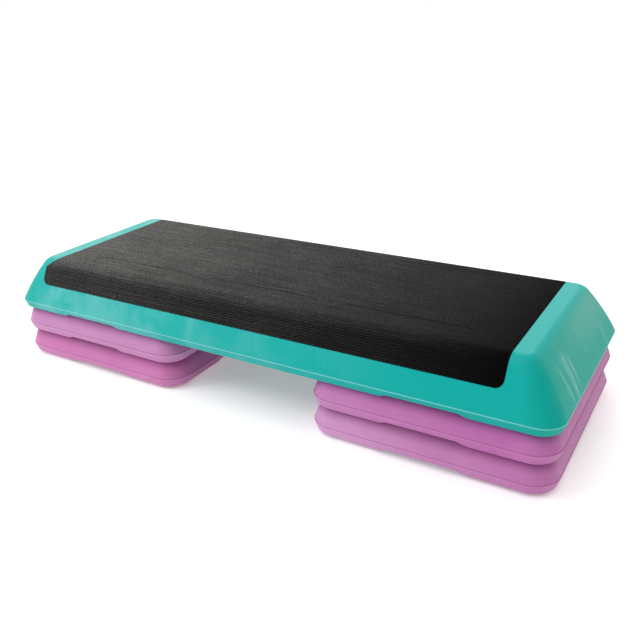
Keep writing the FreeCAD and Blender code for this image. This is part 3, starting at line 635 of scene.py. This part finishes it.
def foot_rubber():
    """Dark grey rubber, dusty in patches, with a fine stipple."""
    material, tree, shader = new_material("foot_rubber")
    shade = colours()
    place = object_place(tree)
    dust = use_group(tree, clouds, (-900, 200),
                     {"Position": place, "Scale": 60.0, "Level": 0.55, "Softness": 0.2})
    grey_share = number(tree, "MULTIPLY", (-500, 200), dust.outputs["Mask"], FOOT_DUST)
    base = blend_colours(tree, (-200, 200), grey_share, opaque(shade.foot), opaque(shade.dust))
    grain = use_group(tree, moulded_grain, (-900, -200), {"Position": place, "Scale": FOOT_GRAIN})
    finish_surface(tree, shader, base, grain, smoothest=0.65, roughest=0.80, bump=0.2)
    return material


def new_piece(name, mesh, node, material):
    """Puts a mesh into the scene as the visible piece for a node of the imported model."""
    mesh.materials.clear()
    mesh.materials.append(material)
    piece = bpy.data.objects.new(name, mesh)
    bpy.context.scene.collection.objects.link(piece)
    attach(piece, BODY_OF[node])
    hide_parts(node)
    return piece


def outline_inset(points, middle, half, corner):
    """How far points lie inside a rounded rectangle in plan, and which way is outwards.

    Past the centre of a corner the distance is the radius less the distance from that centre, and
    along a side it is the distance from the side. The sizes may change from point to point."""
    local = points[:, :2] - middle
    past = np.clip(np.abs(local) - (half - corner), 0.0, None)
    reach = np.hypot(past[:, 0], past[:, 1])
    outwards = np.sign(local) * past / np.maximum(reach, LEAST_REACH)[:, None]
    return corner - reach, outwards


def plan_of(node):
    """Middle and half sizes of a node's box in plan."""
    low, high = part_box(node)
    middle = np.array([low.x + high.x, low.y + high.y]) / 2
    half = np.array([high.x - low.x, high.y - low.y]) / 2
    return middle, half


def side_crown(height, parting, top):
    """How far a moulding's sides swell out at a height: a parabola from the parting line, where it
    is nothing, over its most half-way up, to nothing at the top."""
    share = np.clip((height - parting) / (top - parting), 0.0, 1.0)
    return sizes_of_moulding().crown * (top - parting) * 4.0 * share * (1.0 - share)


def crowned_sides(points, node, parting, corner):
    """Points of a moulding with its walls swollen out by the crown: in full down to the crowned depth
    from the leaning outline, and evenly less from there, to nothing at twice that depth."""
    middle, half = plan_of(node)
    top = float(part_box(node)[1].z)
    lean = (END_LEAN if node == "platform_shell" else SIDE_LEAN, SIDE_LEAN)
    above = np.clip(points[:, 2] - parting, 0.0, None)
    inset, outwards = outline_inset(points, middle, half - above[:, None] * np.array(lean), corner)
    share = np.clip(2.0 - inset / CROWNED_DEPTH, 0.0, 1.0)
    crowned = points.copy()
    crowned[:, :2] += outwards * (share * side_crown(points[:, 2], parting, top))[:, None]
    return crowned


def rounded_nose(points, node, parting, corner):
    """Points with the outer skin drawn in along the parting line, so that sides and rim meet in a
    rounded nose: the pull goes with the square of the nearness, which falls evenly from 1 on the line
    to 0 at the nose's height from it."""
    size = sizes_of_moulding()
    inset, outwards = outline_inset(points, *plan_of(node), corner)
    away = np.abs(points[:, 2] - parting)
    skin = inset < SKIN_DEPTH + STEEPEST_SIDE * away
    nearness = np.clip(1.0 - away / size.nose_height, 0.0, 1.0)
    pull = np.where(skin, size.nose_pull * nearness ** 2, 0.0)
    moved_points = points.copy()
    moved_points[:, :2] -= outwards * pull[:, None]
    return moved_points


def rounding_weights(work, node, parting, corner):
    """Bevel weight of each edge that turns sharply: all of it on the outer edges of the rim and
    of the top, and a small share on the parting step and on the inner edges."""
    size = sizes_of_moulding()
    small = size.lip_radius / size.edge_radius
    layer = work.edges.layers.float.new("bevel_weight_edge")
    edges = [edge for edge in work.edges
             if len(edge.link_faces) == 2 and edge.calc_face_angle() > SHARP_TURN]
    middles = np.array([(edge.verts[0].co + edge.verts[1].co) / 2 for edge in edges])
    inset, _ = outline_inset(middles, *plan_of(node), corner)
    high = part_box(node)[1]
    on_rim = (middles[:, 2] < parting - size.nose_height) & (inset < RIM_DEPTH)
    on_top = (middles[:, 2] > high.z - TOP_DEPTH) & (inset < TOP_INSET)
    for edge, outer in zip(edges, on_rim | on_top):
        edge[layer] = 1.0 if outer else small


def plane_cut(work, faces, place, across):
    """Cuts faces along a plane, and gives the new edges."""
    edges = dict.fromkeys(edge for face in faces for edge in face.edges)
    verts = dict.fromkeys(vert for face in faces for vert in face.verts)
    made = bmesh.ops.bisect_plane(work, geom=[*verts, *edges, *faces], dist=ON_CUT, plane_co=place,
                                  plane_no=across)
    return [item for item in made["geom_cut"] if isinstance(item, bmesh.types.BMEdge)]


def ledge_cuts(work, node, parting, corner):
    """Cuts the ledge along the parting line across, near each corner, and gives the new edges.

    They keep it in strips, because a face that runs round the whole piece can't be filled safely."""
    middle, half = plan_of(node)
    cuts = set()
    for axis in (0, 1):
        for side in (-1.0, 1.0):
            ledge = [face for face in work.faces
                     if all(abs(vert.co.z - parting) < LEDGE_LEVEL for vert in face.verts)]
            place = Vector((0.0, 0.0, 0.0))
            place[axis] = middle[axis] + side * (half[axis] - corner - LEDGE_CUT)
            across = Vector((0.0, 0.0, 0.0))
            across[axis] = 1.0
            cuts.update(plane_cut(work, ledge, place, across))
    return cuts


def moulding_mesh(node, name, parting, corner):
    """The node's own solid with a rounded nose along its parting line and crowned sides.

    Its loose triangles are merged and flat neighbours joined, and level cuts give the nose and the
    sides their rows of points."""
    mesh = bpy.data.meshes.new(name)
    work = bmesh.new()
    work.from_mesh(frame["nodes"][node].data)
    bmesh.ops.remove_doubles(work, verts=work.verts, dist=SAME_PLACE)
    cuts = ledge_cuts(work, node, parting, corner)
    loose = [edge for edge in work.edges if edge not in cuts]
    bmesh.ops.dissolve_limit(work, angle_limit=FLAT_TURN, verts=work.verts, edges=loose)
    tall = float(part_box(node)[1].z) - parting
    heights = [parting + share * sizes_of_moulding().nose_height for share in NOSE_ROWS]
    heights += [parting + share * tall for share in CROWN_ROWS]
    for height in heights:
        plane_cut(work, work.faces[:], (0.0, 0.0, height), (0.0, 0.0, 1.0))
    rounding_weights(work, node, parting, corner)
    work.to_mesh(mesh)
    work.free()
    points = np.empty(3 * len(mesh.vertices))
    mesh.vertices.foreach_get("co", points)
    points = rounded_nose(points.reshape(-1, 3), node, parting, corner)
    points = crowned_sides(points, node, parting, corner)
    mesh.vertices.foreach_set("co", points.ravel())
    mesh.shade_smooth()
    return mesh


def moulded_piece(node, name, parting, corner, material):
    """A moulding with rounded edges. Weighted normals keep its flat walls flat."""
    piece = new_piece(name, moulding_mesh(node, name, parting, corner), node, material)
    bevel = piece.modifiers.new("edge_rounding", "BEVEL")
    bevel.width = sizes_of_moulding().edge_radius
    bevel.segments = 2
    bevel.limit_method = "WEIGHT"
    bevel.use_clamp_overlap = False
    normals = piece.modifiers.new("flat_walls", "WEIGHTED_NORMAL")
    normals.weight = 100
    normals.keep_sharp = True


def mat_bend():
    """Angle that the mat turns through over an edge, length of a flap and half of the flat width."""
    size = sizes_of_mat()
    turn = math.pi / 2 - size.flap_lean
    drop = float(MAT_HIGH.z - MAT_LOW.z)
    flap = (drop - size.bend_radius * (1 - math.cos(turn))) / math.sin(turn)
    flat = float(MAT_HIGH.y) - size.bend_radius * math.sin(turn) - flap * math.cos(turn)
    return turn, flap, flat


def mat_section(run):
    """Section of the mat's top: run is the distance from its middle line over the deck, round
    the edge and down the flap. Gives the distance across, the height and the tilt there."""
    radius = sizes_of_mat().bend_radius
    turn, _, flat = mat_bend()
    past_flat = np.abs(run) - flat
    tilt = np.clip(past_flat / radius, 0.0, turn)
    past_bend = np.clip(past_flat - radius * turn, 0.0, None)
    across = np.minimum(np.abs(run), flat) + radius * np.sin(tilt) + past_bend * math.cos(turn)
    height = float(MAT_HIGH.z) - radius * (1 - np.cos(tilt)) - past_bend * math.sin(turn)
    return np.sign(run) * across, height, np.sign(run) * tilt


def mat_reach():
    """Distance along the section from the middle line to the lower edge of a flap."""
    turn, flap, flat = mat_bend()
    return flat + sizes_of_mat().bend_radius * turn + flap


def mat_ends(height):
    """Left and right ends of the mat at each height: straight on the deck, flared evenly on the left
    below it, and quarter circles at the lower corners of the flaps."""
    size = sizes_of_mat()
    below = float(MAT_HIGH.z) - height
    left = float(MAT_LOW.x) + size.flare * (1 - np.clip(below / size.flare_drop, 0.0, 1.0))
    into_corner = np.clip(size.corner_radius - (height - float(MAT_LOW.z)), 0.0, size.corner_radius)
    pulled = size.corner_radius - np.sqrt(size.corner_radius ** 2 - into_corner ** 2)
    return left + pulled, float(MAT_HIGH.x) - pulled


def hollow_share(x, y):
    """1 in the six shallow hollows of the mat and 0 outside them, with a soft edge.

    The hollows are stadiums in two rows of three. The distance is from a stadium's middle line,
    with all six folded onto one."""
    edge = sizes_of_mat().hollow_edge
    folded = np.mod(x + HOLLOW_PITCH / 2, HOLLOW_PITCH) - HOLLOW_PITCH / 2
    past = np.clip(np.abs(folded) - HOLLOW_STRAIGHT, 0.0, None)
    distance = np.hypot(past, np.abs(y) - HOLLOW_ROW)
    inside = np.clip((HOLLOW_RADIUS - distance) / edge + 0.5, 0.0, 1.0)
    soft = inside * inside * (3.0 - 2.0 * inside)
    return np.where(np.abs(x) < 1.5 * HOLLOW_PITCH, soft, 0.0)


def mat_rows():
    """Places of the mat's rows along the platform, close together at the hollows' round ends."""
    edge = sizes_of_mat().hollow_edge
    ends = np.linspace(HOLLOW_STRAIGHT - edge, HOLLOW_STRAIGHT + HOLLOW_RADIUS + edge,
                       HOLLOW_END_ROWS)
    about_middle = np.concatenate([-ends[::-1], [0.0], ends])
    middles = HOLLOW_PITCH * np.array([-1.0, 0.0, 1.0])
    return np.sort((middles[:, None] + about_middle).ravel())


def ring_faces(index):
    """Faces between neighbouring rows of a grid whose rows close on themselves."""
    after = np.roll(index, -1, axis=1)
    return np.stack([index[:-1], after[:-1], after[1:], index[1:]], axis=-1).reshape(-1, 4)


def mat_mesh(name):
    """The ribbed mat: a grid of stations along the section by rows along the platform.

    A point lies on the section, moved inwards along its normal by the groove's depth (a raised
    cosine about each multiple of the pitch) or by the rounding of the nearest cut edge, and by
    the depth of the hollows. The first and the last row lie on the underside, where the grid closes."""
    size = sizes_of_mat()
    reach = mat_reach()
    step = size.rib_pitch / RIB_STATIONS
    count = math.floor((reach - size.edge_radius) / step)
    inner = np.arange(-count, count + 1) * step
    rim = reach - size.edge_radius * np.array(FLAP_EDGE)
    run = np.concatenate([-rim[::-1], inner, rim])
    across, height, tilt = mat_section(run)
    left, right = mat_ends(height)

    from_groove = np.abs(run / size.rib_pitch - np.round(run / size.rib_pitch)) * size.rib_pitch
    groove = 0.5 + 0.5 * np.cos(np.pi * np.clip(2 * from_groove / size.groove_width, 0.0, 1.0))

    edge = size.edge_radius * np.array(END_EDGE)
    end_rows = len(END_EDGE) + 1
    deck_left = float(MAT_LOW.x) + size.flare
    span = (mat_rows() - deck_left) / (float(MAT_HIGH.x) - deck_left)
    row_share = np.concatenate([np.zeros(end_rows), span, np.ones(end_rows)])
    row_edge = np.concatenate([[0.0], edge, np.full(len(span), size.edge_radius), edge[::-1], [0.0]])
    row_sign = np.concatenate([np.ones(end_rows), np.zeros(len(span)), -np.ones(end_rows)])
    low_row = np.zeros(len(row_share), bool)
    low_row[[0, -1]] = True

    x = left[:, None] * (1 - row_share) + right[:, None] * row_share + row_sign * row_edge
    from_edge = np.minimum(row_edge[None, :], (reach - np.abs(run))[:, None])
    into = np.clip(size.edge_radius - from_edge, 0.0, size.edge_radius)
    rounding = size.edge_radius - np.sqrt(size.edge_radius ** 2 - into ** 2)
    hollow = hollow_share(x, across[:, None])
    depth = np.maximum(groove[:, None] * size.groove_depth, rounding) + hollow * size.hollow_depth
    depth = np.where(low_row, size.thickness, depth)
    y = across[:, None] - depth * np.sin(tilt)[:, None]
    z = height[:, None] - depth * np.cos(tilt)[:, None]
    z = np.maximum(z, float(MAT_LOW.z))
    y = y + np.sign(y) * side_crown(z, PLATFORM_PARTING, DECK_TOP)
    points = np.stack([x, y, z], axis=-1).reshape(-1, 3)

    index = np.arange(x.size).reshape(x.shape)
    flap_ends = [index[0, ::-1].tolist(), index[-1].tolist()]
    mesh = bpy.data.meshes.new(name)
    mesh.from_pydata(points.tolist(), [], ring_faces(index).tolist() + flap_ends)
    # Edges of the hollows, which the mat's material paints in shade
    rubbed = mesh.attributes.new("hollow_edge", "FLOAT", "POINT")
    rubbed.data.foreach_set("value", (4.0 * hollow * (1.0 - hollow)).ravel())
    # Tops of the ribs; the grooves between them are painted in shade
    ribs = mesh.attributes.new("rib", "FLOAT", "POINT")
    ribs.data.foreach_set("value", np.repeat(1.0 - groove, x.shape[1]))
    mesh.shade_smooth()
    mesh.set_sharp_from_angle(angle=MAT_SHARP_TURN)
    return mesh


def foot_profile(half, top):
    """Upright profile of a foot, as distances from its middle and heights: from the underside over two
    ring grooves, up the pad and up the plug."""
    groove = sizes_of_moulding().foot_groove
    profile = []
    for start in RING_STARTS:
        end = start + RING_WIDTH
        profile += [(start * half, 0.0), ((start + RING_SLOPE) * half, groove),
                    ((end - RING_SLOPE) * half, groove), (end * half, 0.0)]
    profile += [(half - inset, height) for inset, height in PAD_ROUNDING]
    profile += [(half, PAD_HEIGHT - PAD_BEVEL), (half - PAD_BEVEL, PAD_HEIGHT)]
    plug = PLUG_SHARE * half
    profile += [(plug, PAD_HEIGHT), (plug, top - PLUG_BEVEL), (plug - PLUG_BEVEL, top)]
    return np.array(profile)


def foot_mesh(name, node):
    """A rubber foot: a rounded square, the curve |x|^n + |y|^n = 1, carried along its profile."""
    low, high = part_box(node)
    top = float(high.z - low.z)
    profile = foot_profile(float(high.x - low.x) / 2, top)
    angle = np.arange(FOOT_POINTS) * 2 * np.pi / FOOT_POINTS
    total = np.abs(np.cos(angle)) ** FOOT_POWER + np.abs(np.sin(angle)) ** FOOT_POWER
    reach = total ** (-1 / FOOT_POWER)
    middle = np.array([(low.x + high.x) / 2, (low.y + high.y) / 2])
    x = middle[0] + profile[:, :1] * (reach * np.cos(angle))
    y = middle[1] + profile[:, :1] * (reach * np.sin(angle))
    z = float(low.z) + np.repeat(profile[:, 1:], FOOT_POINTS, axis=1)
    rings = np.stack([x, y, z], axis=-1).reshape(-1, 3)
    poles = np.array([[*middle, float(low.z)], [*middle, float(low.z) + top]])
    index = np.arange(len(rings)).reshape(x.shape)
    lowest, highest = np.full((2, FOOT_POINTS), [[len(rings)], [len(rings) + 1]])
    under = np.stack([lowest, np.roll(index[0], -1), index[0]], axis=-1)
    over = np.stack([highest, index[-1], np.roll(index[-1], -1)], axis=-1)
    faces = ring_faces(index).tolist() + under.tolist() + over.tolist()
    mesh = bpy.data.meshes.new(name)
    mesh.from_pydata(np.concatenate([rings, poles]).tolist(), [], faces)
    mesh.shade_smooth()
    mesh.set_sharp_from_angle(angle=FOOT_SHARP_TURN)
    return mesh


class STEP_OT_platform(bpy.types.Operator):
    """Make the moulded platform"""
    bl_idname = "step.platform"
    bl_label = "Platform moulding"

    def execute(self, context):
        moulded_piece("platform_shell", "platform_moulding", PLATFORM_PARTING, PLATFORM_CORNER,
                      platform_plastic())
        return {"FINISHED"}


class STEP_OT_mat(bpy.types.Operator):
    """Make the ribbed mat that wraps over the long edges of the deck"""
    bl_idname = "step.mat"
    bl_label = "Ribbed mat"

    def execute(self, context):
        new_piece("ribbed_mat", mat_mesh("ribbed_mat"), "deck_mat", mat_rubber())
        return {"FINISHED"}


class STEP_OT_risers(bpy.types.Operator):
    """Make the four moulded risers"""
    bl_idname = "step.risers"
    bl_label = "Risers"

    def execute(self, context):
        for node in RISERS:
            tint = getattr(colours(), node.removeprefix("riser_"))
            parting = float(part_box(node)[0].z) + RISER_RIM
            # The right risers are painted paler to the left, as light falling off to the right
            plastic = riser_plastic(f"{node}_plastic", tint, parting, LIT_PALE_SHARE.get(node, 0.0))
            moulded_piece(node, f"{node}_moulding", parting, RISER_CORNER, plastic)
        return {"FINISHED"}


class STEP_OT_feet(bpy.types.Operator):
    """Make the push-in rubber feet of the risers and the platform"""
    bl_idname = "step.feet"
    bl_label = "Rubber feet"

    def execute(self, context):
        rubber = foot_rubber()
        for node in FEET:
            name = f"{node}_pad"
            new_piece(name, foot_mesh(name, node), node, rubber)
        return {"FINISHED"}


def soft_light(name, direction, spread, strength, tint):
    """A broad even light from one direction, as wide as its spread in degrees."""
    light = bpy.data.lights.new(name, "SUN")
    light.angle = math.radians(spread)
    light.energy = strength
    light.color = tint
    lamp = bpy.data.objects.new(name, light)
    lamp.rotation_euler = Vector(direction).to_track_quat("Z", "Y").to_euler()
    bpy.context.scene.collection.objects.link(lamp)


def softbox(name):
    """A square studio light that looks at the piece and isn't itself seen."""
    light = bpy.data.lights.new(name, "AREA")
    light.shape = "SQUARE"
    light.size = SOFTBOX_WIDTH
    light.energy = SOFTBOX_POWER
    lamp = bpy.data.objects.new(name, light)
    lamp.location = SOFTBOX_PLACE
    away = Vector(SOFTBOX_PLACE) - Vector(SOFTBOX_TARGET)
    lamp.rotation_euler = away.to_track_quat("Z", "Y").to_euler()
    lamp.visible_camera = False
    bpy.context.scene.collection.objects.link(lamp)


def studio_world():
    """A plain surround: white where it is seen, dim where it lights the pieces."""
    world = bpy.data.worlds.new("studio_world")
    world.use_nodes = True
    tree = world.node_tree
    tree.nodes.clear()
    white = (1.0, 1.0, 1.0, 1.0)
    glow = add_node(tree, "ShaderNodeBackground", (0, 100),
                    {"Color": white, "Strength": SURROUND_GLOW})
    seen = add_node(tree, "ShaderNodeBackground", (0, -100), {"Color": white, "Strength": 1.0})
    rays = add_node(tree, "ShaderNodeLightPath", (0, 400))
    mixed = add_node(tree, "ShaderNodeMixShader", (250, 0),
                     {0: rays.outputs["Is Camera Ray"], 1: glow.outputs[0], 2: seen.outputs[0]})
    output = add_node(tree, "ShaderNodeOutputWorld", (500, 0))
    tree.links.new(mixed.outputs[0], output.inputs["Surface"])
    return world


def studio_floor():
    """A plain round floor: a flat disc of rings about the middle, under the feet."""
    radius = np.array(FLOOR_RADII)[:, None]
    angle = np.arange(FLOOR_POINTS) * 2 * np.pi / FLOOR_POINTS
    x = radius * np.cos(angle)
    y = radius * np.sin(angle)
    points = np.stack([x, y, np.zeros_like(x)], axis=-1).reshape(-1, 3)
    index = np.arange(x.size).reshape(x.shape)
    faces = ring_faces(index)[:, ::-1]
    mesh = bpy.data.meshes.new("studio_floor")
    mesh.from_pydata(points.tolist(), [], [index[0].tolist()] + faces.tolist())
    material, _, shader = new_material("studio_floor")
    shader.inputs["Base Color"].default_value = opaque(colours().floor)
    shader.inputs["Roughness"].default_value = 0.9
    shader.inputs["Specular IOR Level"].default_value = 0.1
    shader.inputs["Emission Color"].default_value = opaque(colours().floor)
    shader.inputs["Emission Strength"].default_value = FLOOR_GLOW
    mesh.materials.append(material)
    floor = bpy.data.objects.new("studio_floor", mesh)
    bpy.context.scene.collection.objects.link(floor)


def photo_camera():
    """The photograph's camera, from its yaw, pitch, roll, place and focal length."""
    yaw = math.radians(CAMERA_YAW)
    pitch = math.radians(CAMERA_PITCH)
    roll = math.radians(CAMERA_ROLL)
    back = np.array([math.sin(yaw) * math.cos(pitch), -math.cos(yaw) * math.cos(pitch), math.sin(pitch)])
    level = np.array([math.cos(yaw), math.sin(yaw), 0.0])
    upright = np.cross(back, level)
    right = math.cos(roll) * level + math.sin(roll) * upright
    up = -math.sin(roll) * level + math.cos(roll) * upright
    lens = bpy.data.cameras.new("photo_camera")
    lens.sensor_width = 36.0
    lens.lens = FOCAL_PIXELS / IMAGE_WIDTH * lens.sensor_width
    lens.shift_x = (IMAGE_WIDTH / 2 - IMAGE_CENTRE_X) / IMAGE_WIDTH
    camera = bpy.data.objects.new("photo_camera", lens)
    rows = [[*axes, place] for axes, place in zip(zip(right, up, back), CAMERA_PLACE)]
    camera.matrix_world = Matrix(rows + [[0, 0, 0, 1]])
    bpy.context.scene.collection.objects.link(camera)
    bpy.context.scene.camera = camera


class STEP_OT_studio(bpy.types.Operator):
    """Make the pale floor, the soft lights and the camera"""
    bl_idname = "step.studio"
    bl_label = "Studio"

    def execute(self, context):
        studio_floor()
        context.scene.world = studio_world()
        for light in SOFT_LIGHTS:
            soft_light(*light)
        softbox("left_softbox")
        context.scene.view_settings.view_transform = "Standard"
        photo_camera()
        return {"FINISHED"}


class STEP_PT_builder(bpy.types.Panel):
    """Lists the pieces and the sizes and colours that they take"""
    bl_idname = "STEP_PT_builder"
    bl_label = "Step platform"
    bl_space_type = "VIEW_3D"
    bl_region_type = "UI"
    bl_category = "Step"

    def draw(self, context):
        layout = self.layout
        for operator in OPERATORS:
            layout.operator(operator.bl_idname, text=operator.bl_label)
        for group in (context.scene.step_mat, context.scene.step_moulding, context.scene.step_colours):
            box = layout.box()
            for name in group.__annotations__:
                box.prop(group, name)


OPERATORS = (STEP_OT_platform, STEP_OT_mat, STEP_OT_risers, STEP_OT_feet, STEP_OT_studio)
CLASSES = (MatSizes, MouldingSizes, StepColours, *OPERATORS, STEP_PT_builder)


def register():
    """Registers the classes, and gives the scene its sizes and colours."""
    for item in CLASSES:
        bpy.utils.register_class(item)
    bpy.types.Scene.step_mat = bpy.props.PointerProperty(type=MatSizes)
    bpy.types.Scene.step_moulding = bpy.props.PointerProperty(type=MouldingSizes)
    bpy.types.Scene.step_colours = bpy.props.PointerProperty(type=StepColours)


def unregister():
    """Takes away what register added."""
    del bpy.types.Scene.step_colours
    del bpy.types.Scene.step_moulding
    del bpy.types.Scene.step_mat
    for item in reversed(CLASSES):
        bpy.utils.unregister_class(item)


def main():
    """Makes the studio and every piece."""
    register()
    bpy.ops.step.studio()
    bpy.ops.step.platform()
    bpy.ops.step.mat()
    bpy.ops.step.risers()
    bpy.ops.step.feet()


if __name__ == "__main__":
    main()
